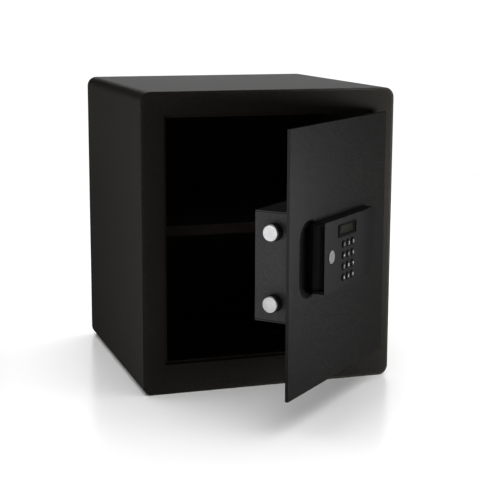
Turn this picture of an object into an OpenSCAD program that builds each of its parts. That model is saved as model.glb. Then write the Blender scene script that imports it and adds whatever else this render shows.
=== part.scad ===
// Compact home safe with a motor-driven two-bolt lock and a keypad pull handle.
// Millimetres, +Z up, X to the right seen from the front, Y towards the back.
// The origin is the middle of the underside. Door parts are written for the
// closed door and turned about the hinge pins by door_open.

/* [Body] */
// Width of the body
body_w = 350; // [340:1:380]
// Height of the body
body_h = 400; // [390:1:440]
// Depth of the body
body_d = 340; // [320:1:420]
// Outer radius of the four long edges
corner_r = 13.5; // [11:0.5:16]
// Thickness of the wrapped steel shell
wall_t = 3; // [2.5:0.5:4]
// Thickness of the front frame
frame_t = 4.5; // [4.5:0.5:5]
// Thickness of the back panel
back_t = 3; // [2.5:0.5:4]

/* [Opening] */
// Width of the frame beside the opening
stile_w = 30; // [28:1:32]
// Height of the frame above the opening
top_rail = 30; // [28:1:34]
// Height of the frame below the opening
bottom_rail = 40; // [36:1:44]
// How far the door stop shows inside the opening
stop_lip = 4; // [3:0.5:4.5]

/* [Door] */
// How far the door stands open
door_open = 43.1; // [0:0.1:90]
// Thickness of the door plate
door_t = 4; // [4:0.5:4]
// Gap above, below and at the free edge of the door
door_gap = 1.5; // [1:0.25:2]
// Gap at the hinge edge of the door
hinge_gap = 4.5; // [4.25:0.25:6]

/* [Hinges] */
// Radius of a hinge pin
pin_r = 4; // [3.5:0.25:4.5]
// Height of a hinge arm's knuckle
knuckle_h = 20; // [18:1:30]
// Distance of a hinge's middle from the door's end
hinge_inset = 40.5; // [36:0.5:60]

/* [Shelf] */
// Height of the shelf's upper face
shelf_z = 213.4; // [205:0.2:220]
// Depth of the shelf
shelf_d = 273; // [200:1:274]
// Height of the shelf's front lip
shelf_lip = 12.5; // [8:0.5:16]
// Thickness of the shelf mat and the floor mat
mat_t = 2; // [1.5:0.5:3]

/* [Lock] */
// Height of the middle of the lock case
lock_z = 203.5; // [200:0.1:208]
// Distance between the two bolts
bolt_pitch = 86; // [84:0.2:86.4]
// Radius of a bolt
bolt_r = 10.5; // [10:0.1:10.5]
// How far a thrown bolt stands out of the lock case
bolt_out = 13; // [10:0.5:15]
// Travel of the bolts
bolt_travel = 13; // [10:0.5:15]

/* [Keypad handle] */
// How far the handle stands out of the door
handle_out = 16; // [15:0.5:18]
// Radius of a key
key_r = 4.75; // [4:0.05:4.8]
// How far a key stands out of the handle
key_out = 2; // [1.4:0.1:2.4]
// Travel of a key
key_travel = 1.2; // [0.8:0.1:1.2]

/* [Anchors] */
// Radius of an anchor hole
anchor_r = 6; // [5:0.5:7]
// Distance between anchor holes across the safe
anchor_dx = 200; // [160:5:220]
// Distance between anchor holes along the floor
anchor_dy = 180; // [120:5:200]

/* [Hidden] */
$fn = 64;
small = 0.01;

// Planes of the body
front_y = -body_d / 2;
back_y = body_d / 2;
frame_back_y = front_y + frame_t;
inner_x = body_w / 2 - wall_t;
inner_r = corner_r - wall_t;
open_x = body_w / 2 - stile_w;
open_bottom = bottom_rail;
open_top = body_h - top_rail;
stop_t = 3;
stop_hidden = 10;

// Door plate, closed
door_x0 = -open_x + door_gap;
door_x1 = open_x - hinge_gap;
door_z0 = open_bottom + door_gap;
door_z1 = open_top - door_gap;
door_back = front_y + door_t;

// Hinge axis, measured from the opening's hinge edge and the front
pivot_x = open_x + 18;
pivot_y = front_y + 19.7;
pin_play = 0.05;
knuckle_r = 7.5;
ear_t = 5;
ear_r = 8;
ear_gap = 0.5;
arm_in = 28;
arm_t = 6;
arm_leg_angle = 100;
arm_end_angle = 216;
arm_pad_x = pivot_x - 64;
arm_pad_t = 4;
stud_r = 3;
stud_x = [pivot_x - 56, pivot_x - 42];
hinge_z = [door_z1 - hinge_inset, door_z0 + hinge_inset];

// Lock case on the door's back
case_x0 = door_x0 + 5;
case_w = 150;
case_x1 = case_x0 + case_w;
case_h = 130;
case_back = door_back + 44;
case_z0 = lock_z - case_h / 2;
case_z1 = lock_z + case_h / 2;
case_t = 1.5;
tray_t = 2;
tray_lip = 2;
seam = 0.5;
post_r = 3;
post_inset = 4.5;
bolt_y = door_back + 17.5;
bolt_z = [lock_z + bolt_pitch / 2, lock_z - bolt_pitch / 2];
bolt_end = case_x0 - bolt_out;
bolt_len = 54;
bolt_tail = bolt_end + bolt_len;
bolt_play = 0.06;
bush_r = 12;
guide_x = case_x0 + 8;
guide_t = 5;

// Rack and pinion: pitch radius of the pinion is half of teeth x module
gear_module = 0.75;
gear_teeth = 16;
pitch_r = gear_module * gear_teeth / 2;
tooth_pitch = PI * gear_module;
tooth_half = 0.19 * tooth_pitch;
tooth_up = 0.6;
tooth_down = 0.95;
gear_x = case_x0 + 103;
gear_y = bolt_y - 6;
gear_w = 5;
rack_z = lock_z + 28.5;
rack_y = gear_y;
gear_z = rack_z + pitch_r;
shaft_r = 1.5;

// Keypad handle on the door's front
handle_x0 = door_x0 + 63;
handle_x1 = handle_x0 + 192.5;
handle_z = 206.3;
handle_h = 88.5;
handle_flat = 105;
handle_curve_r = 255;
handle_corner_r = 44;
undercut_r = 10;
face_y = front_y - handle_out;
face_t = 4;
cavity_x = [handle_x0 + 30, handle_x0 + 125];
cavity_margin = 4;
key_x = handle_x0 + 67.8;
key_dx = 13.25;
key_z = 216.7;
key_dz = 14.05;
key_play = 0.15;
key_flange = 5.6;
key_flange_y = face_y + face_t + 0.3;
screen_x = key_x - 3.3;
screen_z = 234.8;
screen_w = 48;
screen_h = 12;
bezel_rim = 2;
bezel_out = 1.5;
lens_t = 0.8;
screen_y = face_y + 2.5;
cap_x = handle_x0 + 19.1;
cap_z = handle_z;
cap_r = 8.25;
cap_out = 1;
cap_sunk = 1;
barrel_r = 7;
barrel_back = door_back + 16;
plug_r = 5;
cam_t = 2.5;
screw_spots = [
    [handle_x0 + 25, -36], [handle_x0 + 25, 36], [handle_x0 + 155, -26], [handle_x0 + 155, 26]
];
screw_r = 2;

// Finger cup beside the handle
cup_x0 = handle_x0 - 24.5;
cup_x1 = handle_x0 + 8;
cup_z0 = handle_z - 42.3;
cup_z1 = handle_z + 43.7;
cup_r = 18;
cup_depth = 8;
cup_t = 1.5;
band_x = 12.5;
band_z = 5;
band_r = 24;
band_depth = 2.4;

// Battery box and board inside the lock case
cell_r = 7;
cell_len = 49;
cell_pitch = 15;
box_x0 = case_x1 - 44;
box_x1 = case_x1 - 10;
box_z0 = case_z0 + 4;
box_z1 = box_z0 + 62;
box_front = door_back + 8;
board_x = [case_x0 + 64, case_x0 + 98];
board_z = [case_z0 + 4, case_z0 + 56];
board_y = case_back - 12;
board_t = 1.6;
button_r = 3.5;
button_x = case_x0 + 88;
button_z = case_z0 + 40;
button_out = 2;
cover_t = 1.6;
cover_slot = 2.2;

paint = [0.12, 0.12, 0.12];
plastic = [0.09, 0.09, 0.1];
steel = [0.75, 0.76, 0.78];

// Turns door parts from the closed door to where the door stands
module on_door() {
    translate([pivot_x, pivot_y, 0]) rotate([0, 0, door_open])
        translate([-pivot_x, -pivot_y, 0]) children();
}

// Box from one corner to the other
module block(a, b) {
    translate(a) cube(b - a);
}

// Cylinder along Y from y0 to y1
module rod_y(x, z, r, y0, y1) {
    translate([x, y1, z]) rotate([90, 0, 0]) cylinder(r = r, h = y1 - y0);
}

// Cylinder along X from x0 to x1
module rod_x(y, z, r, x0, x1) {
    translate([x0, y, z]) rotate([0, 90, 0]) cylinder(r = r, h = x1 - x0);
}

// Outline in X and Z, extruded along Y from y0 to y1
module slab_y(y0, y1) {
    translate([0, y1, 0]) rotate([90, 0, 0]) linear_extrude(y1 - y0) children();
}

module rounded_rect(x0, x1, z0, z1, r) {
    union() {
        translate([x0 + r, z0]) square([x1 - x0 - 2 * r, z1 - z0]);
        translate([x0, z0 + r]) square([x1 - x0, z1 - z0 - 2 * r]);
        for (x = [x0 + r, x1 - r], z = [z0 + r, z1 - r]) translate([x, z]) circle(r = r);
    }
}

// ---------- Body ----------

module body_wrap() color(paint) difference() {
    slab_y(front_y, back_y) rounded_rect(-body_w / 2, body_w / 2, 0, body_h, corner_r);
    slab_y(front_y - 1, back_y + 1) wrap_inside();
    for (x = [-1, 1], y = [-1, 1]) translate([x * anchor_dx / 2, y * anchor_dy / 2, -1])
        cylinder(r = anchor_r, h = wall_t + 2);
}

module wrap_inside() {
    rounded_rect(-inner_x, inner_x, wall_t, body_h - wall_t, inner_r);
}

module back_panel() color(paint) slab_y(back_y - back_t, back_y) wrap_inside();

module front_frame() color(paint) difference() {
    slab_y(front_y, frame_back_y) wrap_inside();
    block([-open_x, front_y - 1, open_bottom], [open_x, frame_back_y + 1, open_top]);
}

// Strips behind the frame that the closed door meets, on three sides
module door_stop() color(paint) {
    y1 = frame_back_y + stop_t;
    x_in = -open_x + stop_lip;
    x_out = -open_x - stop_hidden;
    z_in = [open_bottom + stop_lip, open_top - stop_lip];
    block([x_out, frame_back_y, z_in[0]], [x_in, y1, z_in[1]]);
    block([x_out, frame_back_y, open_bottom - stop_hidden], [open_x, y1, z_in[0]]);
    block([x_out, frame_back_y, z_in[1]], [open_x, y1, open_top + stop_hidden]);
}

// Folded bracket: a web on the frame's back and two ears around the pin
module hinge_lug(z) color(paint) difference() {
    ear_reach = inner_x - pivot_x;
    half = knuckle_h / 2 + ear_gap;
    union() {
        block([pivot_x - ear_r, frame_back_y, z - half - ear_t],
              [inner_x, frame_back_y + 3, z + half + ear_t]);
        for (z0 = [z - half - ear_t, z + half]) {
            translate([pivot_x, pivot_y, z0]) cylinder(r = ear_r, h = ear_t);
            block([pivot_x - ear_r, frame_back_y, z0], [pivot_x + ear_reach, pivot_y, z0 + ear_t]);
        }
    }
    translate([pivot_x, pivot_y, z - half - ear_t - 1]) cylinder(r = pin_r + 0.02, h = 2 * half + 2 * ear_t + 2);
}

module hinge_lug_upper() hinge_lug(hinge_z[0]);
module hinge_lug_lower() hinge_lug(hinge_z[1]);

// Headed pin that drops through both ears
module hinge_pin(z) color(steel) {
    half = knuckle_h / 2 + ear_gap + ear_t;
    translate([pivot_x, pivot_y, z - half - 2]) cylinder(r = pin_r, h = 2 * half + 2);
    translate([pivot_x, pivot_y, z + half]) cylinder(r = pin_r + 2, h = 2.5);
}

module hinge_pin_upper() hinge_pin(hinge_z[0]);
module hinge_pin_lower() hinge_pin(hinge_z[1]);

// Two L-shaped runners on the side walls
module shelf_rails() color(paint) {
    rail = 14;
    t = 1.5;
    y0 = back_y - back_t - shelf_d;
    y1 = back_y - back_t - 5;
    top = shelf_z - t;
    for (side = [0, 1]) mirror([side, 0, 0]) {
        block([inner_x - rail, y0 + 8, top - t], [inner_x, y1, top]);
        block([inner_x - t, y0 + 8, top - rail], [inner_x, y1, top - t]);
    }
}

module shelf() color(paint) {
    t = 1.5;
    x = inner_x - 1;
    y1 = back_y - back_t - 4;
    y0 = y1 - shelf_d;
    block([-x, y0, shelf_z - t], [x, y1, shelf_z]);
    block([-x, y0, shelf_z - shelf_lip], [x, y0 + t, shelf_z - t]);
    block([-x + 16, y0 + t, shelf_z - shelf_lip], [x - 16, y0 + 8, shelf_z - shelf_lip + t]);
}

module shelf_mat() color([0.1, 0.11, 0.1]) {
    x = inner_x - 2;
    y1 = back_y - back_t - 5;
    block([-x, y1 - shelf_d + 1, shelf_z], [x, y1, shelf_z + mat_t]);
}

module floor_mat() color([0.1, 0.11, 0.1]) difference() {
    x = inner_x - inner_r;
    block([-x, front_y + 10, wall_t], [x, back_y - back_t - 2, wall_t + mat_t]);
    for (i = [-1, 1], j = [-1, 1]) translate([i * anchor_dx / 2, j * anchor_dy / 2, 0])
        cylinder(r = 2 * anchor_r, h = wall_t + mat_t + 1);
}

// ---------- Door and hinge arms ----------

// D-shaped outline, round at its free side
// Shallow slope round the finger cup, up to the handle
module band_outline(grow) {
    x = cup_x0 - band_x - grow;
    intersection() {
        rounded_rect(x, cup_x0 + 80, cup_z0 - band_z - grow, cup_z1 + band_z + grow, band_r + grow);
        translate([x, 0]) square([handle_x0 + 0.3 + grow - x, body_h]);
    }
}

module cup_outline(grow) {
    intersection() {
        rounded_rect(cup_x0 - grow, cup_x0 + 80, cup_z0 - grow, cup_z1 + grow, cup_r + grow);
        translate([cup_x0 - 20, 0]) square([cup_x1 + grow - cup_x0 + 20, body_h]);
    }
}

module handle_screw_holes(r, y0, y1) {
    for (s = screw_spots) rod_y(s[0], handle_z + s[1], r, y0, y1);
}

cable_x = [board_x[0] + 26, board_x[0] + 34];
cable_z = lock_z + 5;
cable_t = 1;

module cable_slot(y0, y1) {
    block([cable_x[0] - 1, y0, cable_z - 1], [cable_x[1] + 1, y1, cable_z + cable_t + 1]);
}

module door_plate() color(paint) on_door() difference() {
    block([door_x0, front_y, door_z0], [door_x1, door_back, door_z1]);
    slab_y(front_y - 1, door_back + 1) cup_outline(cup_t + 0.1);
    slab_y(front_y - 1, door_back + 1) band_outline(0.1);
    rod_y(cap_x, cap_z, barrel_r + 0.1, front_y - 1, door_back + 1);
    cable_slot(front_y - 1, door_back + 1);
    handle_screw_holes(screw_r + 0.1, front_y - 1, door_back + 1);
}

// Flat bar bent round the frame's edge, with an eye for the pin and a pad on the door
module arm_profile() {
    difference() {
        union() {
            circle(r = knuckle_r);
            rotate(arm_leg_angle) translate([0, -arm_t / 2]) square([arm_in + arm_t - 0.6, arm_t]);
            intersection() {
                difference() {
                    circle(r = arm_in + arm_t, $fn = 128);
                    circle(r = arm_in, $fn = 128);
                }
                polygon(concat([[0, 0]], [
                    for (a = [arm_leg_angle : 4 : arm_end_angle]) 60 * [cos(a), sin(a)]
                ]));
                translate([-60, door_back - pivot_y]) square([120, 120]);
            }
            translate([arm_pad_x - pivot_x, door_back - pivot_y])
                square([pivot_x - arm_pad_x - arm_in, arm_pad_t]);
        }
        circle(r = pin_r + pin_play);
    }
}

module hinge_arm(z) color(paint) on_door() difference() {
    translate([pivot_x, pivot_y, z - knuckle_h / 2]) linear_extrude(knuckle_h) arm_profile();
    for (x = stud_x) rod_y(x, z, stud_r + 0.15, door_back - 1, door_back + arm_pad_t + 1);
}

module hinge_arm_upper() hinge_arm(hinge_z[0]);
module hinge_arm_lower() hinge_arm(hinge_z[1]);

// Studs on the door's back, each with a nut
module hinge_arm_nuts() color(steel) on_door() for (z = hinge_z, x = stud_x) {
    difference() {
        translate([x, door_back + arm_pad_t + 5, z]) rotate([90, 0, 0]) cylinder(r = 5.8, h = 5, $fn = 6);
        rod_y(x, z, stud_r, door_back, door_back + arm_pad_t + 6);
    }
    rod_y(x, z, stud_r, door_back, door_back + arm_pad_t + 7);
}

// ---------- Keypad handle ----------

// Dark cup that gives the fingers room behind the handle's edge
module finger_cup() color(plastic) on_door() difference() {
    union() {
        slab_y(front_y, front_y + cup_depth + cup_t) cup_outline(cup_t);
        slab_y(front_y, door_back - 0.1) band_outline(0);
    }
    hull() {
        slab_y(front_y - 1, front_y) band_outline(-0.6);
        slab_y(front_y - 1, front_y + band_depth) intersection() {
            band_outline(-0.6);
            cup_outline(0);
        }
    }
    slab_y(front_y - 2, front_y + cup_depth) cup_outline(0);
}

// Flat face at the left that falls away in a long curve to the right
module handle_body() {
    flat_x = handle_x0 + handle_flat;
    z0 = handle_z - handle_h / 2;
    z1 = handle_z + handle_h / 2;
    intersection() {
        union() {
            block([handle_x0, face_y, z0], [flat_x, front_y, z1]);
            intersection() {
                translate([flat_x, face_y + handle_curve_r, z0])
                    cylinder(r = handle_curve_r, h = handle_h, $fn = 256);
                block([flat_x - 1, face_y - 1, z0], [handle_x1, front_y, z1]);
            }
        }
        slab_y(face_y - 1, front_y + 1) union() {
            rounded_rect(handle_x0 + 60, handle_x1, z0, z1, handle_corner_r);
            rounded_rect(handle_x0, handle_x0 + 120, z0, z1, 1.5);
        }
    }
}

module keypad_housing() color(paint) on_door() {
    housing_shell();
    for (b = board_bosses) rod_y(b[0], b[1], 2.4, face_y + face_t, front_y - 4 - board_t);
}

module housing_shell() difference() {
    handle_body();
    block([cavity_x[0], face_y + face_t, handle_z - handle_h / 2 + cavity_margin],
          [cavity_x[1], front_y + 1, handle_z + handle_h / 2 - cavity_margin]);
    for (i = [0 : 2], j = [0 : 3]) rod_y(key_x + (i - 1) * key_dx, key_z - j * key_dz,
        key_r + key_play, face_y - 1, face_y + face_t + 1);
    block([screen_x - screen_w / 2, face_y - 1, screen_z - screen_h / 2],
          [screen_x + screen_w / 2, face_y + face_t + 1, screen_z + screen_h / 2]);
    rod_y(cap_x, cap_z, barrel_r + 0.05, face_y - 1, front_y + 1);
    rod_y(cap_x, cap_z, cap_r + 0.1, face_y - 1, face_y + cap_sunk);
    handle_screw_holes(screw_r, front_y - 8, front_y + 1);
    // undercut that the fingertips hook behind
    translate([handle_x0 - 6.5, (face_y + front_y) / 2, handle_z - handle_h / 2 + 4])
        cylinder(r = undercut_r, h = handle_h - 8, $fn = 96);
}

board_bosses = [
    for (x = [cavity_x[0] + 4, cavity_x[1] - 4], z = [handle_z - 34, handle_z + 34]) [x, z]
];

module keypad_board() color([0.1, 0.3, 0.15]) on_door() {
    y = front_y - 4;
    block([cavity_x[0] + 1, y - board_t, handle_z - 38], [cavity_x[1] - 1, y, handle_z + 38]);
    block([cable_x[0] - 1, y, cable_z - 3], [cable_x[1] + 1, y + 3, cable_z + cable_t + 3]);
}

// Silicone sheet with a dome under each key
module key_dome_sheet() color([0.35, 0.35, 0.35]) on_door() {
    y = front_y - 4 - board_t;
    block([key_x - 24, y - 1, key_z - 50], [key_x + 24, y, key_z + 7]);
    for (i = [0 : 2], j = [0 : 3]) rod_y(key_x + (i - 1) * key_dx, key_z - j * key_dz, 3.2,
        key_flange_y + 0.9 + key_travel, y - 1);
}

// Raised frame round the display
module display_bezel() color([0.06, 0.06, 0.06]) on_door() {
    w = screen_w / 2 + bezel_rim;
    h = screen_h / 2 + bezel_rim;
    difference() {
        block([screen_x - w, face_y - bezel_out, screen_z - h], [screen_x + w, face_y, screen_z + h]);
        block([screen_x - screen_w / 2, face_y - 3, screen_z - screen_h / 2],
              [screen_x + screen_w / 2, face_y + 1, screen_z + screen_h / 2]);
    }
}

module display_panel() color([0.45, 0.5, 0.35]) on_door() {
    w = screen_w / 2 - 0.2;
    h = screen_h / 2 - 0.2;
    y = front_y - 4 - board_t;
    block([screen_x - w, screen_y, screen_z - h], [screen_x + w, face_y + face_t + 0.2, screen_z + h]);
    block([screen_x - w, face_y + face_t + 0.2, screen_z - h], [screen_x + w, y, screen_z + h - 2]);
}

module display_window() color([0.6, 0.65, 0.6, 0.4]) on_door() {
    w = screen_w / 2 - 0.1;
    h = screen_h / 2 - 0.1;
    block([screen_x - w, face_y - lens_t, screen_z - h], [screen_x + w, face_y, screen_z + h]);
}

// Pan-head screws from inside the lock case into the handle
module handle_screws() color(steel) on_door() for (s = screw_spots) {
    inside = s[0] < case_x1;
    head_y = inside ? door_back + tray_t : door_back;
    rod_y(s[0], handle_z + s[1], screw_r - 0.05, front_y - 7, head_y);
    rod_y(s[0], handle_z + s[1], screw_r * 1.9, head_y, head_y + 2);
}

// Key r at column i from the left and row j from the top
module key(i, j) color([0.16, 0.16, 0.17]) on_door() {
    x = key_x + (i - 1) * key_dx;
    z = key_z - j * key_dz;
    rod_y(x, z, key_r, face_y - key_out, key_flange_y);
    rod_y(x, z, key_flange, key_flange_y, key_flange_y + 0.8);
}

module key_1() key(0, 0);
module key_2() key(1, 0);
module key_3() key(2, 0);
module key_4() key(0, 1);
module key_5() key(1, 1);
module key_6() key(2, 1);
module key_7() key(0, 2);
module key_8() key(1, 2);
module key_9() key(2, 2);
module key_clear() key(0, 3);
module key_0() key(1, 3);
module key_enter() key(2, 3);

// ---------- Emergency lock behind the round cover ----------

module override_cylinder() color(steel) on_door() difference() {
    rod_y(cap_x, cap_z, barrel_r, face_y + cap_sunk + 1, barrel_back);
    rod_y(cap_x, cap_z, plug_r + 0.05, face_y, barrel_back + 1);
}

module override_plug() color([0.8, 0.7, 0.4]) on_door() difference() {
    rod_y(cap_x, cap_z, plug_r, face_y + cap_sunk + 1.5, barrel_back + cam_t + 1);
    block([cap_x - 0.6, face_y, cap_z - 3.5], [cap_x + 0.6, face_y + 20, cap_z + 3.5]);
}

// Lever on the plug's tail
module override_cam() color(steel) on_door() difference() {
    slab_y(barrel_back + 0.3, barrel_back + 0.3 + cam_t) union() {
        translate([cap_x, cap_z]) circle(r = plug_r + 2);
        translate([cap_x - 3, cap_z]) square([6, 10]);
    }
    rod_y(cap_x, cap_z, plug_r + 0.02, barrel_back - 1, barrel_back + cam_t + 2);
}

module key_cover() color(steel) on_door() {
    rod_y(cap_x, cap_z, cap_r, face_y - cap_out, face_y + cap_sunk);
}

// ---------- Lock case and its mechanism ----------

board_posts = [
    [board_x[0] + 3, board_z[0] + 3], [board_x[1] - 3, board_z[0] + 3], [board_x[0] + 12, board_z[1] - 3]
];

module lock_tray() color(paint) on_door() difference() {
    union() {
        block([case_x0, door_back, case_z0 - tray_lip], [case_x1, door_back + tray_t, case_z1 + tray_lip]);
        for (z = [case_z0 - tray_lip, case_z1 + seam])
            block([case_x0, door_back + tray_t, z], [case_x1, case_back, z + tray_lip - seam]);
        for (p = case_posts()) rod_y(p[0], p[1], post_r, door_back + tray_t, case_back - case_t);
        for (p = board_posts) rod_y(p[0], p[1], 2.5, door_back + tray_t, board_y);
    }
    for (p = case_posts()) rod_y(p[0], p[1], 1.3, door_back + tray_t + 5, case_back);
    slab_y(door_back - 1, door_back + tray_t + 1) cup_outline(cup_t + 0.2);
    rod_y(cap_x, cap_z, barrel_r + 0.1, door_back - 1, door_back + tray_t + 1);
    rod_y(gear_x, gear_z, shaft_r + 0.1, door_back - 1, door_back + tray_t + 1);
    cable_slot(door_back - 1, door_back + tray_t + 1);
    handle_screw_holes(screw_r + 0.1, door_back - 1, door_back + tray_t + 1);
}

function case_posts() = [
    for (x = [case_x0 + post_inset, case_x1 - post_inset / 2 - 3], z = [case_z0 + 3.6, case_z1 - 3.6]) [x, z]
];

// U-shaped cover: two sides and the rear wall
module lock_cover() color(paint) on_door() {
    difference() {
        block([case_x0, door_back + tray_t, case_z0], [case_x1, case_back, case_z1]);
        block([case_x0 + case_t, door_back, case_z0 - 1], [case_x1 - case_t, case_back - case_t, case_z1 + 1]);
        for (z = bolt_z) rod_x(bolt_y, z, bolt_r + 0.4, case_x0 - 1, case_x0 + case_t + 1);
        for (p = case_posts()) rod_y(p[0], p[1], 1.6, case_back - case_t - 1, case_back + 1);
        rod_y(button_x, button_z, button_r + 0.2, case_back - case_t - 1, case_back + 1);
        block([box_x0 + 4, case_back - case_t - 1, box_z0 + 4], [box_x1 - 4, case_back + 1, box_z1 - 4]);
    }
    // ledge under the battery cover and guides at its sides
    block([box_x0 + 4, case_back, box_z0 - 2], [box_x1 - 4, case_back + cover_slot, box_z0]);
    for (side = [0, 1]) {
        x = side == 0 ? box_x0 - 2 : box_x1 + 0.2;
        lip = side == 0 ? box_x0 - 2 : box_x1 - 1.5;
        block([x, case_back, box_z0 + 8], [x + 1.8, case_back + cover_slot, box_z1 - 8]);
        block([lip, case_back + cover_slot, box_z0 + 8], [lip + 3.5, case_back + cover_slot + 1, box_z1 - 8]);
    }
}

module lock_case_screws() color(steel) on_door() for (p = case_posts()) {
    rod_y(p[0], p[1], 1.25, case_back - 14, case_back);
    rod_y(p[0], p[1], 2.8, case_back, case_back + 1.6);
}

module bolt_guide() color(steel) on_door() difference() {
    block([guide_x, door_back + tray_t, case_z0 + 8], [guide_x + guide_t, case_back - 4, case_z1 - 8]);
    for (z = bolt_z) rod_x(bolt_y, z, bush_r, guide_x - 1, guide_x + guide_t + 1);
}

module bolt_bushes() color([0.85, 0.83, 0.75]) on_door() for (z = bolt_z) difference() {
    rod_x(bolt_y, z, bush_r - 0.02, guide_x - 3, guide_x + guide_t + 3);
    rod_x(bolt_y, z, bolt_r + bolt_play, guide_x - 4, guide_x + guide_t + 4);
}

// Round bolt with a bright rounded end and a ring groove
module bolt(z) color(steel) on_door() difference() {
    union() {
        translate([bolt_end, bolt_y, z]) rotate([0, 90, 0]) cylinder(r1 = bolt_r - 1, r2 = bolt_r, h = 1, $fn = 96);
        rod_x(bolt_y, z, bolt_r, bolt_end + 1, bolt_tail);
    }
    rod_x(bolt_y, z, 2.6, bolt_tail - 16, bolt_tail + 1);
}

module bolt_upper() bolt(bolt_z[0]);
module bolt_lower() bolt(bolt_z[1]);

module bolt_screws() color([0.2, 0.2, 0.22]) on_door() for (z = bolt_z) {
    rod_x(bolt_y, z, 2.5, bolt_tail - 14, bolt_tail + 6);
    rod_x(bolt_y, z, 4.25, bolt_tail + 6, bolt_tail + 9);
}

rack_teeth = 13;
rack_x0 = gear_x - 9 * tooth_pitch;

// One tooth of the rack, pointing up, centred on x
module rack_tooth(x) {
    w = tooth_half;
    slope = tan(20);
    translate([x, 0]) polygon([
        [-w - slope * tooth_down, -tooth_down], [w + slope * tooth_down, -tooth_down],
        [w - slope * tooth_up, tooth_up], [-w + slope * tooth_up, tooth_up]
    ]);
}

// Upright bar that ties the bolts together, with the rack that the motor drives
module bolt_carriage() color([0.6, 0.61, 0.63]) on_door() difference() {
    union() {
        block([bolt_tail, bolt_y - 8.5, bolt_z[1] - 11], [bolt_tail + 6, bolt_y + 8.5, bolt_z[0] + 11]);
        block([bolt_tail + 6, rack_y - gear_w / 2, rack_z - 6],
              [gear_x + 10, rack_y + gear_w / 2, rack_z - tooth_down]);
        translate([0, 0, rack_z]) slab_y(rack_y - gear_w / 2, rack_y + gear_w / 2)
            for (i = [0 : rack_teeth - 1]) rack_tooth(rack_x0 + i * tooth_pitch);
    }
    for (z = bolt_z) rod_x(bolt_y, z, 2.6, bolt_tail - 1, bolt_tail + 7);
}

module gear_outline() {
    slope = tan(20);
    circle(r = pitch_r - tooth_down, $fn = 48);
    for (i = [0 : gear_teeth - 1]) rotate((i + 0.5) * 360 / gear_teeth + 270) polygon([
        [pitch_r - tooth_down - 0.2, -tooth_half - slope * tooth_down],
        [pitch_r + tooth_up, -tooth_half + slope * tooth_up],
        [pitch_r + tooth_up, tooth_half - slope * tooth_up],
        [pitch_r - tooth_down - 0.2, tooth_half + slope * tooth_down]
    ]);
}

// Pinion and its shaft. A tooth gap faces the rack tooth under it
module drive_pinion() color([0.8, 0.7, 0.4]) on_door() {
    translate([gear_x, 0, gear_z])
        slab_y(gear_y - gear_w / 2, gear_y + gear_w / 2) gear_outline();
    rod_y(gear_x, gear_z, shaft_r, door_back + 1, gear_y - gear_w / 2);
    rod_y(gear_x, gear_z, shaft_r, gear_y + gear_w / 2, gear_y + gear_w / 2 + 1.4);
}

motor_x = [gear_x - 16, gear_x + 14];
plate_y = gear_y + gear_w / 2 + 1.5;

// Angle bracket from the tray that carries the gear motor
module motor_bracket() color(steel) on_door() difference() {
    union() {
        block([motor_x[0], plate_y, gear_z - 9], [motor_x[1], plate_y + 1.5, gear_z + 15]);
        block([motor_x[0], door_back + tray_t, gear_z + 13.5], [motor_x[1], plate_y, gear_z + 15]);
    }
    rod_y(gear_x, gear_z, shaft_r + 0.5, plate_y - 1, plate_y + 3);
}

module motor_gearbox() color([0.8, 0.7, 0.4]) on_door() {
    rod_y(gear_x, gear_z, 8, plate_y + 1.5, plate_y + 8);
}

module lock_motor() color(steel) on_door() {
    intersection() {
        rod_y(gear_x, gear_z, 8, plate_y + 8, case_back - 5);
        block([gear_x - 6.5, plate_y, gear_z - 9], [gear_x + 6.5, case_back, gear_z + 9]);
    }
    for (x = [-3, 3]) rod_y(gear_x + x, gear_z, 0.8, case_back - 5, case_back - 3);
}

// Board with its chips, connectors and the reset switch
module control_board() color([0.1, 0.3, 0.15]) on_door() {
    y = board_y + board_t;
    block([board_x[0], board_y, board_z[0]], [board_x[1], y, board_z[1]]);
    block([board_x[0] + 6, y, board_z[0] + 6], [board_x[0] + 18, y + 2, board_z[0] + 18]);
    block([board_x[0] + 8, y, board_z[0] + 24], [board_x[0] + 14, y + 2, board_z[0] + 32]);
    block([cable_x[0] - 1, board_y - 3, board_z[1] - 7], [cable_x[1] + 1, board_y, board_z[1] - 3]);
    rod_y(button_x, button_z, 2.5, y, case_back - case_t - 2.8);
}

module ribbon_cable() color([0.3, 0.3, 0.32]) on_door() {
    turn_y = board_y - 3;
    block([cable_x[0], front_y - 1, cable_z], [cable_x[1], turn_y, cable_z + cable_t]);
    block([cable_x[0], turn_y - cable_t, board_z[1] - 5], [cable_x[1], turn_y, cable_z]);
}

module reset_button() color([0.6, 0.1, 0.1]) on_door() {
    rod_y(button_x, button_z, button_r, case_back - case_t - 0.4, case_back + button_out);
    rod_y(button_x, button_z, button_r + 1, case_back - case_t - 1.2, case_back - case_t - 0.4);
}

// Open box for the four cells
module battery_holder() color(plastic) on_door() difference() {
    y1 = case_back - case_t - 0.3;
    block([box_x0, box_front, box_z0], [box_x1, y1, box_z1]);
    block([box_x0 + 1.5, box_front + 1.5, box_z0 + 1.5], [box_x1 - 1.5, y1 + 1, box_z1 - 1.5]);
}

module battery_cells() color([0.2, 0.3, 0.5]) on_door() {
    mid_x = (box_x0 + box_x1) / 2;
    y0 = case_back - case_t - 0.8 - cell_r;
    z0 = (box_z0 + box_z1 - cell_len) / 2;
    for (i = [-0.5, 0.5], j = [0, 1]) translate([mid_x + i * cell_pitch, y0 - j * cell_pitch, z0]) {
        cylinder(r = cell_r, h = cell_len);
        translate([0, 0, i < 0 ? cell_len : -1.5]) cylinder(r = 2.6, h = 1.5);
    }
}

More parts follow.
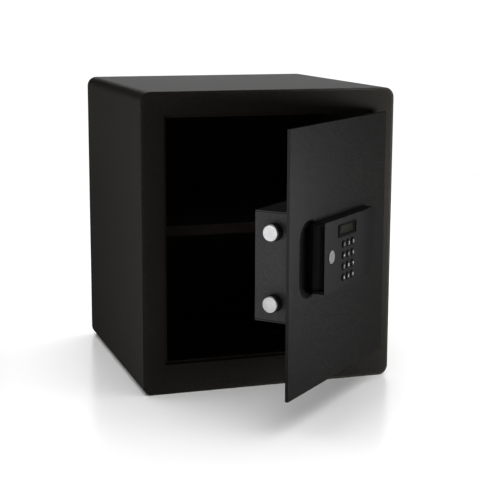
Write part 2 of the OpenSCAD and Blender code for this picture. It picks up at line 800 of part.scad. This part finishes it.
// Cover that slides up off its ledge on the rear of the lock case
module battery_cover() color(plastic) on_door() difference() {
    block([box_x0, case_back + 0.2, box_z0], [box_x1, case_back + 0.2 + cover_t, box_z1]);
    for (i = [0 : 4]) block([box_x0 + 8, case_back + cover_t - 0.4, box_z0 + 6 + 2.4 * i],
        [box_x1 - 8, case_back + cover_t + 1, box_z0 + 7.2 + 2.4 * i]);
}

body_wrap();
back_panel();
front_frame();
door_stop();
hinge_lug_upper();
hinge_lug_lower();
hinge_pin_upper();
hinge_pin_lower();
shelf_rails();
shelf();
shelf_mat();
floor_mat();
door_plate();
hinge_arm_upper();
hinge_arm_lower();
hinge_arm_nuts();
finger_cup();
keypad_housing();
keypad_board();
key_dome_sheet();
display_bezel();
display_panel();
display_window();
handle_screws();
lock_tray();
lock_cover();
lock_case_screws();
bolt_guide();
bolt_bushes();
motor_bracket();
motor_gearbox();
lock_motor();
control_board();
battery_holder();
battery_cells();
ribbon_cable();
override_cylinder();
bolt_carriage();
bolt_upper();
bolt_lower();
bolt_screws();
drive_pinion();
override_plug();
override_cam();
key_cover();
battery_cover();
reset_button();
key_1();
key_2();
key_3();
key_4();
key_5();
key_6();
key_7();
key_8();
key_9();
key_clear();
key_0();
key_enter();
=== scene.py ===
import math

import bmesh
import bpy
from mathutils import Matrix, Vector, noise


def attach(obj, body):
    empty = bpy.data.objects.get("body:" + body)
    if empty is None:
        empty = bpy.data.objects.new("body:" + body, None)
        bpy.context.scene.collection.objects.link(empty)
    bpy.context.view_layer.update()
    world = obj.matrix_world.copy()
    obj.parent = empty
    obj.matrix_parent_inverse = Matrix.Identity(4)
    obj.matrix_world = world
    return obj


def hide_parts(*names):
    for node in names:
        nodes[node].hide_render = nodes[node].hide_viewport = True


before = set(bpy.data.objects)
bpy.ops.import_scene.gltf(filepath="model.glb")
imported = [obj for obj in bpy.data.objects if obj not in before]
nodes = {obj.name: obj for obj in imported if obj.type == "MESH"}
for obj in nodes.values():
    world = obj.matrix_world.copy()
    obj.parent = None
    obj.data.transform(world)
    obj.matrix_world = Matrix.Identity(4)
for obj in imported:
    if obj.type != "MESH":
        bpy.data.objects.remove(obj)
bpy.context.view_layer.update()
scene = bpy.context.scene

# ---------------------------------------------------------------- camera
AZ, EL, ROLL = math.radians(-17.8726), math.radians(10.5037), math.radians(0.1644)
CAMERA_AT, LENS = Vector((-0.55478, -1.75399, 0.51336)), 96.69
back = Vector((math.sin(AZ) * math.cos(EL), -math.cos(AZ) * math.cos(EL), math.sin(EL)))
side = Vector((0, 0, 1)).cross(back).normalized()
up = back.cross(side)
cam_x = side * math.cos(ROLL) + up * math.sin(ROLL)
cam_y = -side * math.sin(ROLL) + up * math.cos(ROLL)
cam = bpy.data.objects.new("camera", bpy.data.cameras.new("camera"))
scene.collection.objects.link(cam)
turn = Matrix((cam_x, cam_y, back)).transposed().to_4x4()
cam.matrix_world = Matrix.Translation(CAMERA_AT) @ turn
cam.data.lens = LENS
cam.data.sensor_width = 36
cam.data.clip_end = 50
scene.camera = cam
scene.view_settings.view_transform = "Standard"

# ---------------------------------------------------------------- the closed door's frame, in millimetres
PIVOT, DOOR_OPEN = Vector((0.163, -0.1503, 0)), 43.1
SWING = Matrix.Rotation(math.radians(DOOR_OPEN), 4, "Z")
OPEN = Matrix.Translation(PIVOT) @ SWING @ Matrix.Translation(-PIVOT)
MM = Matrix.Scale(0.001, 4)
FRONT, FACE = -170.0, -186.0


# ---------------------------------------------------------------- node helpers
class Tree:
    """A material's node tree with short calls."""

    def __init__(self, name):
        self.mat = bpy.data.materials.new(name)
        self.mat.use_nodes = True
        self.t = self.mat.node_tree
        self.out = self.t.nodes["Material Output"]
        self.bsdf = self.t.nodes["Principled BSDF"]
        self.coord = self.t.nodes.new("ShaderNodeTexCoord").outputs["Object"]

    def node(self, kind, **values):
        n = self.t.nodes.new("ShaderNode" + kind)
        for k, v in values.items():
            if hasattr(n, k):
                setattr(n, k, v)
            else:
                n.inputs[k.replace("_", " ")].default_value = v
        return n

    def link(self, a, b):
        self.t.links.new(a, b)

    def noise(self, scale, detail=3, rough=0.55, stretch=None):
        n = self.node("TexNoise", Scale=scale, Detail=detail, Roughness=rough)
        src = self.coord
        if stretch:
            m = self.node("Mapping")
            m.inputs["Scale"].default_value = stretch
            self.link(src, m.inputs["Vector"])
            src = m.outputs["Vector"]
        self.link(src, n.inputs["Vector"])
        return n.outputs["Fac"]

    def ramp(self, fac, stops):
        r = self.node("ValToRGB")
        els = r.color_ramp.elements
        while len(els) < len(stops):
            els.new(0.5)
        for e, (p, c) in zip(els, stops):
            e.position = p
            e.color = (*c, 1) if isinstance(c, tuple) else (c, c, c, 1)
        self.link(fac, r.inputs["Fac"])
        return r.outputs["Color"]

    def span(self, fac, a, b, c, d):
        m = self.node("MapRange")
        for k, v in zip(("From Min", "From Max", "To Min", "To Max"), (a, b, c, d)):
            m.inputs[k].default_value = v
        self.link(fac, m.inputs["Value"])
        return m.outputs["Result"]

    def mix(self, fac, a, b):
        m = self.node("Mix", data_type="RGBA")
        for sock, v in ((m.inputs[0], fac), (m.inputs[6], a), (m.inputs[7], b)):
            if hasattr(v, "is_linked"):
                self.link(v, sock)
            else:
                sock.default_value = v if not isinstance(v, tuple) else (*v, 1)
        return m.outputs[2]

    def bump(self, height, strength, distance, normal=None):
        b = self.node("Bump", Strength=strength, Distance=distance)
        self.link(height, b.inputs["Height"])
        if normal is not None:
            self.link(normal, b.inputs["Normal"])
        return b.outputs["Normal"]

    def edges(self, low=0.52, high=0.6):
        """White where the surface is a worn outer edge."""
        g = self.node("NewGeometry")
        return self.span(g.outputs["Pointiness"], low, high, 0, 1)

    def product(self, a, b):
        m = self.node("Math", operation="MULTIPLY")
        for sock, v in zip(m.inputs, (a, b)):
            if hasattr(v, "is_linked"):
                self.link(v, sock)
            else:
                sock.default_value = v
        return m.outputs[0]

    def set(self, **values):
        for k, v in values.items():
            sock = self.bsdf.inputs[k.replace("_", " ")]
            if hasattr(v, "is_linked"):
                self.link(v, sock)
            else:
                sock.default_value = (*v, 1) if isinstance(v, tuple) else v
        return self.mat


def powder_coat(name, colour, rough=0.5, spec=0.35, wear=0.5, tint=(1, 1, 1)):
    """Baked powder coat: fine orange peel, faint cloudiness, slightly paler on edges, thin dust."""
    t = Tree(name)
    cloud = t.noise(9, 4, 0.6)
    peel = t.noise(1500, 2, 0.5)
    grit = t.noise(420, 3, 0.6)
    dark = tuple(c * 0.86 for c in colour)
    pale = tuple(c * 1.16 for c in colour)
    base = t.ramp(cloud, [(0.3, dark), (0.7, pale)])
    worn = t.span(grit, 0.45, 0.7, 0.3, 1)
    e = t.product(t.product(t.edges(), worn), wear)
    base = t.mix(e, base, tuple(c * 2.2 + 0.02 for c in colour))
    normal = t.bump(peel, 0.16, 0.0006, t.bump(grit, 0.08, 0.0008))
    return t.set(Base_Color=base, Roughness=t.span(grit, 0.3, 0.7, rough - 0.05, rough + 0.06),
                 Specular_IOR_Level=spec, Specular_Tint=tint, Normal=normal)


def moulded(name, colour, rough=0.45, spec=0.4, grain=900):
    """Moulded plastic with a fine spark-eroded grain."""
    t = Tree(name)
    cloud = t.noise(14, 3, 0.5)
    fine = t.noise(grain, 2, 0.6)
    base = t.ramp(cloud, [(0.3, tuple(c * 0.85 for c in colour)), (0.7, tuple(c * 1.15 for c in colour))])
    return t.set(Base_Color=base, Roughness=t.span(fine, 0.3, 0.7, rough - 0.06, rough + 0.06),
                 Specular_IOR_Level=spec, Normal=t.bump(fine, 0.12, 0.0004))


def rubber(name, colour):
    t = Tree(name)
    fine = t.noise(1300, 3, 0.6)
    dark, pale = tuple(c * 0.8 for c in colour), tuple(c * 1.2 for c in colour)
    base = t.ramp(t.noise(60, 3), [(0.3, dark), (0.7, pale)])
    return t.set(Base_Color=base, Roughness=t.span(fine, 0.3, 0.7, 0.5, 0.68), Specular_IOR_Level=0.35,
                 Normal=t.bump(fine, 0.15, 0.0003))


def metal(name, colour, rough=0.3, brush=(1, 1, 40), scale=220, spread=0.1, bump=0.08):
    """Bare or plated metal: brushed along one way, with cloudy plating and handling marks."""
    t = Tree(name)
    lines = t.noise(scale, 3, 0.6, stretch=brush)
    cloud = t.noise(30, 4, 0.6)
    dark, pale = tuple(c * 0.88 for c in colour), tuple(min(1, c * 1.06) for c in colour)
    base = t.ramp(cloud, [(0.3, dark), (0.7, pale)])
    gloss = t.span(lines, 0.3, 0.7, rough - spread / 2, rough + spread)
    return t.set(Base_Color=base, Metallic=1.0, Roughness=gloss,
                 Normal=t.bump(lines, bump, 0.0003))


def pile_fabric(name, colour):
    """Short needle-felt pile."""
    t = Tree(name)
    tuft = t.node("TexVoronoi", Scale=900)
    t.link(t.coord, tuft.inputs["Vector"])
    fuzz = t.noise(700, 4, 0.7)
    broad = t.noise(24, 4, 0.6)
    base = t.ramp(broad, [(0.25, tuple(c * 0.7 for c in colour)), (0.75, tuple(c * 1.35 for c in colour))])
    base = t.mix(t.span(fuzz, 0.35, 0.7, 0, 0.55), base, tuple(c * 2.1 for c in colour))
    normal = t.bump(fuzz, 0.6, 0.0008, t.bump(tuft.outputs["Distance"], 0.5, 0.0008))
    return t.set(Base_Color=base, Roughness=t.span(fuzz, 0.3, 0.7, 0.85, 0.98), Specular_IOR_Level=0.15,
                 Sheen_Weight=0.25, Sheen_Roughness=0.5, Normal=normal)


def circuit(name):
    """Solder resist with tracks under it and pads that show through."""
    t = Tree(name)
    v = t.node("TexVoronoi", Scale=260, distance="MANHATTAN")
    t.link(t.coord, v.inputs["Vector"])
    tracks = t.ramp(v.outputs["Distance"], [(0.2, (0.05, 0.2, 0.07)), (0.5, (0.02, 0.1, 0.035))])
    grain = t.noise(300, 3)
    return t.set(Base_Color=tracks, Roughness=t.span(grain, 0.3, 0.7, 0.28, 0.42),
                 Normal=t.bump(v.outputs["Distance"], 0.15, 0.0003))


def lcd(name):
    """Unlit display: olive ground with the faint grid of its segments."""
    t = Tree(name)
    grid = t.node("TexBrick", Scale=140)
    grid.offset = 0
    t.link(t.coord, grid.inputs["Vector"])
    haze = t.noise(60, 2)
    base = t.ramp(haze, [(0.3, (0.028, 0.03, 0.017)), (0.7, (0.038, 0.04, 0.024))])
    fine = t.noise(800, 2)
    return t.set(Base_Color=base, Roughness=t.span(fine, 0.3, 0.7, 0.3, 0.4),
                 Normal=t.bump(grid.outputs["Fac"], 0.05, 0.0002))


def window(name):
    t = Tree(name)
    smear = t.noise(50, 3)
    return t.set(Base_Color=(0.03, 0.032, 0.026), Roughness=t.span(smear, 0.3, 0.7, 0.1, 0.18), Alpha=0.2,
                 Specular_IOR_Level=0.5, Normal=t.bump(t.noise(300, 2), 0.02, 0.0002))


def ink(name, colour):
    t = Tree(name)
    fine = t.noise(1500, 3, 0.6)
    base = t.ramp(fine, [(0.3, tuple(c * 0.8 for c in colour)), (0.6, colour)])
    return t.set(Base_Color=base, Roughness=t.span(fine, 0.3, 0.7, 0.4, 0.55), Specular_IOR_Level=0.4,
                 Normal=t.bump(fine, 0.06, 0.0002))


SHELL = powder_coat("shell_paint", (0.0118, 0.0106, 0.0088), 0.5, 0.3, 0.6, (1, 0.93, 0.82))
DOOR = powder_coat("door_paint", (0.0066, 0.006, 0.0056), 0.4, 0.4, 0.5)
CASE = powder_coat("case_paint", (0.03, 0.0275, 0.0305), 0.45, 0.45, 0.8)
INSIDE = powder_coat("inside_paint", (0.014, 0.0095, 0.006), 0.6, 0.15, 0.3)
MAT = pile_fabric("mat_pile", (0.0148, 0.0138, 0.0115))
HOUSING = moulded("housing_plastic", (0.0125, 0.0118, 0.012), 0.4, 0.45)
BLACK = moulded("black_plastic", (0.006, 0.0058, 0.0055), 0.35, 0.4)
BEZEL = metal("bezel_black_chrome", (0.15, 0.15, 0.15), 0.2, (1, 1, 1), 500, 0.06)
KEY = rubber("key_rubber", (0.008, 0.008, 0.0085))
DOME = rubber("dome_rubber", (0.2, 0.2, 0.2))
BOARD = circuit("circuit_board")
LCD = lcd("lcd_panel")
WINDOW = window("display_window")
INK = ink("key_ink", (0.62, 0.62, 0.64))
DISC = metal("bolt_end_chrome", (0.88, 0.88, 0.89), 0.32, (1, 1, 1), 500)
# a darker copy of the bolt chrome for the barrel: painted shade standing for the dark surroundings it
# reflects
BOLT_BARREL_PAINTED_SHADE = metal("bolt_side_chrome", (0.22, 0.22, 0.21), 0.26, (1, 30, 30), 120)
ZINC = metal("zinc_steel", (0.5, 0.5, 0.49), 0.34)
OXIDE = metal("black_oxide", (0.03, 0.03, 0.031), 0.42)
BRASS = metal("brass", (0.62, 0.45, 0.19), 0.3)
SILVER = metal("cover_chrome", (0.86, 0.86, 0.87), 0.3, (1, 1, 1), 500)
BUSH = moulded("bush_plastic", (0.5, 0.48, 0.4), 0.4)
CELL = moulded("cell_wrap", (0.02, 0.03, 0.09), 0.25)
CABLE = moulded("cable_sheath", (0.07, 0.07, 0.08), 0.5)
RED = moulded("reset_plastic", (0.28, 0.02, 0.018), 0.35)


def dress(name, material, bevel=0.0):
    """Gives a CAD node its material and, for a plain solid, softened edges."""
    o = nodes[name]
    o.data.materials.clear()
    o.data.materials.append(material)
    if bevel:
        b = o.modifiers.new("edges", "BEVEL")
        b.width = bevel / 1000
        b.segments = 2
        b.limit_method = "ANGLE"
        b.angle_limit = math.radians(35)
        b.harden_normals = True
    return o


for n, m, b in (
    ("body_wrap", SHELL, 0.5), ("back_panel", SHELL, 0.0), ("front_frame", SHELL, 0.4),
    ("door_stop", INSIDE, 0.3), ("hinge_lug_upper", INSIDE, 0.0), ("hinge_lug_lower", INSIDE, 0.0),
    ("hinge_pin_upper", ZINC, 0.3), ("hinge_pin_lower", ZINC, 0.3), ("shelf_rails", INSIDE, 0.2),
    ("shelf", INSIDE, 0.4), ("shelf_mat", MAT, 0.0), ("floor_mat", MAT, 0.0),
    ("door_plate", DOOR, 0.35), ("hinge_arm_upper", DOOR, 0.0), ("hinge_arm_lower", DOOR, 0.0),
    ("hinge_arm_nuts", ZINC, 0.0), ("finger_cup", BLACK, 0.0), ("keypad_housing", HOUSING, 0.5),
    ("keypad_board", BOARD, 0.0), ("key_dome_sheet", DOME, 0.0), ("display_bezel", BEZEL, 0.2),
    ("display_panel", LCD, 0.0), ("display_window", WINDOW, 0.0), ("handle_screws", ZINC, 0.3),
    ("lock_tray", CASE, 0.0), ("lock_cover", CASE, 0.2), ("lock_case_screws", OXIDE, 0.3),
    ("bolt_guide", ZINC, 0.3), ("bolt_bushes", BUSH, 0.3), ("motor_bracket", ZINC, 0.2),
    ("motor_gearbox", BRASS, 0.3), ("lock_motor", ZINC, 0.3), ("control_board", BOARD, 0.0),
    ("battery_holder", BLACK, 0.2), ("battery_cells", CELL, 0.3), ("ribbon_cable", CABLE, 0.2),
    ("override_cylinder", SILVER, 0.2), ("bolt_carriage", ZINC, 0.0), ("bolt_screws", ZINC, 0.3),
    ("drive_pinion", BRASS, 0.0), ("override_plug", BRASS, 0.0), ("override_cam", ZINC, 0.2),
    ("key_cover", SILVER, 0.3), ("battery_cover", BLACK, 0.2), ("reset_button", RED, 0.2),
):
    dress(n, m, b)


# ---------------------------------------------------------------- mesh helpers, in the closed door's frame
def piece(name, bm, materials, body, stands_for, smooth=None, closed=True):
    """A new piece from a bmesh in millimetres."""
    me = bpy.data.meshes.new(name)
    bmesh.ops.recalc_face_normals(bm, faces=bm.faces)
    bm.to_mesh(me)
    bm.free()
    for m in materials:
        me.materials.append(m)
    me.transform((OPEN @ MM) if closed else MM)
    o = bpy.data.objects.new(name, me)
    scene.collection.objects.link(o)
    if smooth is not None:
        me.shade_smooth()
        me.set_sharp_from_angle(angle=math.radians(smooth))
    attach(o, body)
    if stands_for:
        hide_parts(*stands_for)
    return o


def lathe(bm, profile, steps, place, radius=None, material=None):
    """Rings of (along, r) about an axis. place maps (along, a, b) to the frame, radius shapes each spoke."""
    rings = []
    for along, r in profile:
        ring = []
        for i in range(steps):
            a = 2 * math.pi * i / steps
            q = radius(i, r, along) if radius else r
            ring.append(bm.verts.new(place(along, q * math.cos(a), q * math.sin(a))))
        rings.append(ring)
    for k in range(len(rings) - 1):
        for i in range(steps):
            j = (i + 1) % steps
            f = bm.faces.new((rings[k][i], rings[k][j], rings[k + 1][j], rings[k + 1][i]))
            f.material_index = material(k) if material else 0
    for ring, k in ((rings[0], 0), (rings[-1], len(rings) - 2)):
        f = bm.faces.new(ring)
        f.material_index = material(k) if material else 0


# bolts: bright faced end, chamfer, narrow land, fine flutes where it stands out of the case, plain barrel;
# the flutes and barrel take a darker copy of the end's chrome, painted shade standing for the dark
# surroundings they reflect
BOLT_Y, BOLT_END, BOLT_R = -148.5, -151.5, 10.5
FLUTE_FROM, FLUTE_TO, FLUTE_DEPTH = 2.0, 13.1, 0.28
for name, z in (("bolt_upper", 246.5), ("bolt_lower", 160.5)):
    bm = bmesh.new()
    prof = [(0.0, BOLT_R - 1.5), (0.0, BOLT_R - 1.2), (0.5, BOLT_R - 0.5), (1.1, BOLT_R - 0.05),
            (1.8, BOLT_R - 0.05), (2.1, BOLT_R - 0.35), (13.0, BOLT_R - 0.35), (13.3, BOLT_R - 0.02),
            (54.0, BOLT_R - 0.02)]

    def spoke(i, r, along):
        return r - (FLUTE_DEPTH if FLUTE_FROM < along < FLUTE_TO and i % 4 < 2 else 0.0)

    # end, chamfer and land take the chrome; the rest takes the darker painted-shade copy
    lathe(bm, prof, 144, lambda s, a, b, z=z: (BOLT_END + s, BOLT_Y + a, z + b), spoke,
          lambda k: 0 if k < 3 else 1)
    piece(name + "_turned", bm, [DISC, BOLT_BARREL_PAINTED_SHADE], "bolts", [name], smooth=30)

# keys: dished rubber caps with printed signs
GLYPHS = ["1", "2", "3", "4", "5", "6", "7", "8", "9", "*", "0", "#"]
KEYS = ["key_1", "key_2", "key_3", "key_4", "key_5", "key_6", "key_7", "key_8", "key_9",
        "key_clear", "key_0", "key_enter"]
KEY_TOP = FACE - 2.0
PAD_X, PAD_Z, PAD_DX, PAD_DZ = -12.7, 216.7, 13.25, 14.05
SIGN_SIZE, STAR_SIZE = 5.6, 8.0
for i, (name, sign) in enumerate(zip(KEYS, GLYPHS)):
    x = PAD_X + (i % 3 - 1) * PAD_DX
    z = PAD_Z - (i // 3) * PAD_DZ
    bm = bmesh.new()
    prof = [(0.22, 0.8), (0.16, 2.4), (0.02, 3.7), (0.0, 4.0), (0.1, 4.4), (0.35, 4.65), (0.8, 4.75),
            (6.3, 4.75), (6.35, 5.6), (7.1, 5.6)]
    lathe(bm, prof, 48, lambda s, a, b, x=x, z=z: (x + a, KEY_TOP + s, z + b))
    piece(name + "_moulded", bm, [KEY], name + "_cap", [name], smooth=40)
    cu = bpy.data.curves.new(name + "_sign", "FONT")
    cu.body = sign
    cu.size = SIGN_SIZE if sign != "*" else STAR_SIZE
    cu.align_x, cu.align_y = "CENTER", "CENTER"
    cu.extrude = 0.06
    cu.offset = 0.09
    tmp = bpy.data.objects.new("tmp", cu)
    me = bpy.data.meshes.new_from_object(tmp)
    bpy.data.objects.remove(tmp)
    me.name = name + "_sign"
    xs = [v.co.x for v in me.vertices]
    ys = [v.co.y for v in me.vertices]
    me.transform(Matrix.Translation((-(min(xs) + max(xs)) / 2, -(min(ys) + max(ys)) / 2, 0)))
    upright = Matrix.Translation((x, KEY_TOP + 0.16, z)) @ Matrix.Rotation(math.pi / 2, 4, "X")
    me.transform(OPEN @ MM @ upright)
    me.materials.clear()
    me.materials.append(INK)
    o = bpy.data.objects.new(name + "_sign", me)
    scene.collection.objects.link(o)
    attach(o, name + "_cap")


# finger cup: a shallow slope that runs into a soft-edged dish, steep only where the handle hides it
CUP_X0, CUP_X1, CUP_Z0, CUP_Z1, CUP_R, HANDLE_X0 = -105.0, -72.5, 164.0, 250.0, 18.0, -80.5
CUP_LIP, CUP_WALL = -1.4, 1.2
SLOPE_WIDTH, SLOPE_RISE, SLOPE_ROUND = 11.1, 3.6, 4.6


def cup_ring(bm, d, y, hidden_y=None):
    """The cup's outline moved inwards by d, at depth y. A d below CUP_LIP is on the slope round the cup."""
    lim = max(d, CUP_LIP)
    slope = max(0.0, (CUP_LIP - d) / SLOPE_WIDTH)
    low, high = CUP_Z0 + lim - SLOPE_RISE * slope, CUP_Z1 - lim + SLOPE_RISE * slope
    x0, r = CUP_X0 + d, CUP_R - lim + SLOPE_ROUND * slope
    right = CUP_X1 - (0.15 * d if d > 0 else lim)
    pts = []
    for a0, cz in ((180, low + r), (90, high - r)):
        for k in range(17):
            a = math.radians(a0 + 90 * k / 16)
            pts.append((x0 + r + r * math.cos(a), cz + r * math.sin(a)))
        if a0 == 180:
            behind = HANDLE_X0 + 0.2
            pts += [(HANDLE_X0 - 1, low), (behind, low if slope else CUP_Z0 + lim),
                    (behind, CUP_Z0 + lim), (right, CUP_Z0 + lim),
                    (right, CUP_Z1 - lim), (behind, CUP_Z1 - lim),
                    (behind, high if slope else CUP_Z1 - lim), (HANDLE_X0 - 1, high)]
    hidden = y if hidden_y is None else hidden_y
    return [bm.verts.new((x, y if x < HANDLE_X0 - 0.9 else hidden, z)) for x, z in pts]


def skin(bm, rings, cap=True):
    for a, b in zip(rings, rings[1:]):
        for i in range(len(a)):
            j = (i + 1) % len(a)
            bm.faces.new((a[i], a[j], b[j], b[i]))
    if cap:
        bm.faces.new(rings[-1])


bm = bmesh.new()
edge = [(-12.5, FRONT + 3.8, FRONT + 3.8), (-12.5, FRONT + 0.5, FRONT + 0.5),
        (-12.4, FRONT + 0.2, FRONT + 0.2), (-12.0, FRONT + 0.12, FRONT + 0.15)]
band = [(-11.6 + 1.7 * k, FRONT + 0.16 + 2.2 * (k / 6) ** 1.4, FRONT + 0.3) for k in range(7)]
bowl = [(9.0 * k / 14, FRONT + 2.4 + 5.5 * (1 - math.cos(math.pi * (k + 2) / 16)) / 2, None)
        for k in range(15)]
front = [cup_ring(bm, *r) for r in edge + band + bowl]
under = [cup_ring(bm, d - CUP_WALL, max(y + CUP_WALL, FRONT + 3.9)) for d, y, _ in bowl[2:]]
skin(bm, front)
skin(bm, [front[0], cup_ring(bm, -1.35, FRONT + 3.85), *under])
bmesh.ops.remove_doubles(bm, verts=bm.verts, dist=0.001)
piece("finger_cup_dished", bm, [BLACK], "door", ["finger_cup"], smooth=50)


MAT_GRID = 7


def felt(name, x, y0, y1, z, t, holes, replaced):
    """A needle-felt mat: cut edges, a top that isn't quite flat, and a bottom that rests on its support."""
    nx, ny = int(2 * x / MAT_GRID), int((y1 - y0) / MAT_GRID)
    bm = bmesh.new()
    rows = []
    for j in range(ny + 1):
        row = []
        for i in range(nx + 1):
            p = Vector((-x + 2 * x * i / nx, y0 + (y1 - y0) * j / ny, 0))
            edge = min(i, j, nx - i, ny - j)
            rise = noise.noise(p * 0.011) * 0.5 + noise.noise(p * 0.05) * 0.3
            top = z + t - 0.35 + 0.35 * rise - (0.45 if edge == 0 else 0.0)
            row.append((bm.verts.new((p.x, p.y, top)), bm.verts.new((p.x, p.y, z + 0.05))))
        rows.append(row)
    for j in range(ny):
        for i in range(nx):
            a, b, c, d = rows[j][i], rows[j][i + 1], rows[j + 1][i + 1], rows[j + 1][i]
            bm.faces.new((a[0], b[0], c[0], d[0]))
            bm.faces.new((a[1], d[1], c[1], b[1]))
    loop = [rows[0][i] for i in range(nx)] + [rows[j][nx] for j in range(ny)]
    loop += [rows[ny][nx - i] for i in range(nx)] + [rows[ny - j][0] for j in range(ny)]
    for a, b in zip(loop, loop[1:] + loop[:1]):
        bm.faces.new((a[0], a[1], b[1], b[0]))
    o = piece(name, bm, [MAT], "safe_body", replaced, closed=False)
    area = 4e-6 * x * (y1 - y0) / 2
    if holes:
        cutter = bpy.data.meshes.new("cut")
        cb = bmesh.new()
        for hx, hy, hr in holes:
            bmesh.ops.create_cone(cb, cap_ends=True, segments=48, radius1=hr, radius2=hr, depth=30,
                                  matrix=Matrix.Translation((hx, hy, z)))
            area -= math.pi * hr * hr * 1e-6
        cb.to_mesh(cutter)
        cb.free()
        cutter.transform(MM)
        tool = bpy.data.objects.new("cut", cutter)
        scene.collection.objects.link(tool)
        m = o.modifiers.new("holes", "BOOLEAN")
        m.object = tool
        m.solver = "EXACT"
        cut = bpy.data.meshes.new_from_object(o.evaluated_get(bpy.context.evaluated_depsgraph_get()))
        o.modifiers.clear()
        o.data = cut
        cut.name = name
        bpy.data.objects.remove(tool)
    o.data.shade_smooth()
    o.data.set_sharp_from_angle(angle=math.radians(50))


felt("shelf_mat_felt", 170, -110, 162, 213.4, 2, [], ["shelf_mat"])
felt("floor_mat_felt", 161.5, -160, 165, 3, 2, [(x, y, 12) for x in (-100, 100) for y in (-90, 90)],
     ["floor_mat"])

# ---------------------------------------------------------------- floor, light and world
t = Tree("floor")
soft = t.noise(3, 2)
FLOOR = t.set(Base_Color=(0.93, 0.93, 0.93), Roughness=t.span(soft, 0.3, 0.7, 0.2, 0.26),
              Specular_IOR_Level=0.5)
me = bpy.data.meshes.new("floor")
me.from_pydata([(-3.2, -2.6, 0), (3.2, -2.6, 0), (3.2, 1.7, 0), (-3.2, 1.7, 0)], [], [(0, 1, 2, 3)])
floor = bpy.data.objects.new("floor", me)
me.materials.append(FLOOR)
scene.collection.objects.link(floor)
floor.visible_glossy = False


def softbox(name, at, aim, size, glow, lights=None):
    """A rectangular softbox of the given radiance, which lights everything or only the named objects."""
    d = bpy.data.lights.new(name, "AREA")
    d.shape = "RECTANGLE"
    d.size, d.size_y = size
    d.energy = glow * math.pi * size[0] * size[1]
    o = bpy.data.objects.new(name, d)
    o.location = at
    o.rotation_euler = (Vector(aim) - Vector(at)).to_track_quat("-Z", "Y").to_euler()
    o.visible_camera = False
    scene.collection.objects.link(o)
    if lights:
        group = bpy.data.collections.new("lit_by_" + name)
        for lit in lights:
            group.objects.link(lit)
        o.light_linking.receiver_collection = group


# the back box leaves these unlit, so that the door's front stays dark
DULL = ("door_plate", "lock_", "keypad_housing")
far_lit = [o for o in scene.objects if o.type == "MESH" and not o.name.startswith(DULL)]
softbox("top_box", (0, 0.1, 2.6), (0, 0.1, 0), (5.0, 4.0), 2.65, [floor])
softbox("hair_box", (0, 0.1, 2.4), (0, 0.1, 0), (2.0, 2.0), 0.4)
softbox("back_box", (1.75, 4.2, 1.2), (1.0, 0, 0.9), (3.2, 2.6), 1.07, far_lit)
softbox("left_box", (-2.0, -0.78, 0.35), (0, -0.27, 0.2), (0.7, 0.9), 1.0)
softbox("left_card", (-1.2, -0.7, 0.02), (-1.2, -0.7, 2), (1.46, 0.8), 1.07)
softbox("right_box", (0.64, -0.58, 0.17), (0.0, -0.3, 0.2), (0.38, 0.26), 8.3)
softbox("side_box", (-0.62, 2.4, 0.3), (-0.175, 0, 0.15), (1.2, 0.56), 0.11, [nodes["body_wrap"]])
softbox("side_card", (-0.75, 0.25, 0.02), (-0.175, 0.05, 0.05), (0.5, 0.6), 1.05, [nodes["body_wrap"]])

# the camera sees a white world, and everything else a dim one
ROOM_GLOW, BACKDROP_GLOW = 0.03, 1.05
world = bpy.data.worlds.new("world")
scene.world = world
world.use_nodes = True
wt = world.node_tree
bg = wt.nodes["Background"]
lp = wt.nodes.new("ShaderNodeLightPath")
mx = wt.nodes.new("ShaderNodeMix")
mx.data_type = "FLOAT"
wt.links.new(lp.outputs["Is Camera Ray"], mx.inputs[0])
mx.inputs[2].default_value = ROOM_GLOW
mx.inputs[3].default_value = BACKDROP_GLOW
wt.links.new(mx.outputs[0], bg.inputs["Strength"])
bg.inputs["Color"].default_value = (1, 1, 1, 1)
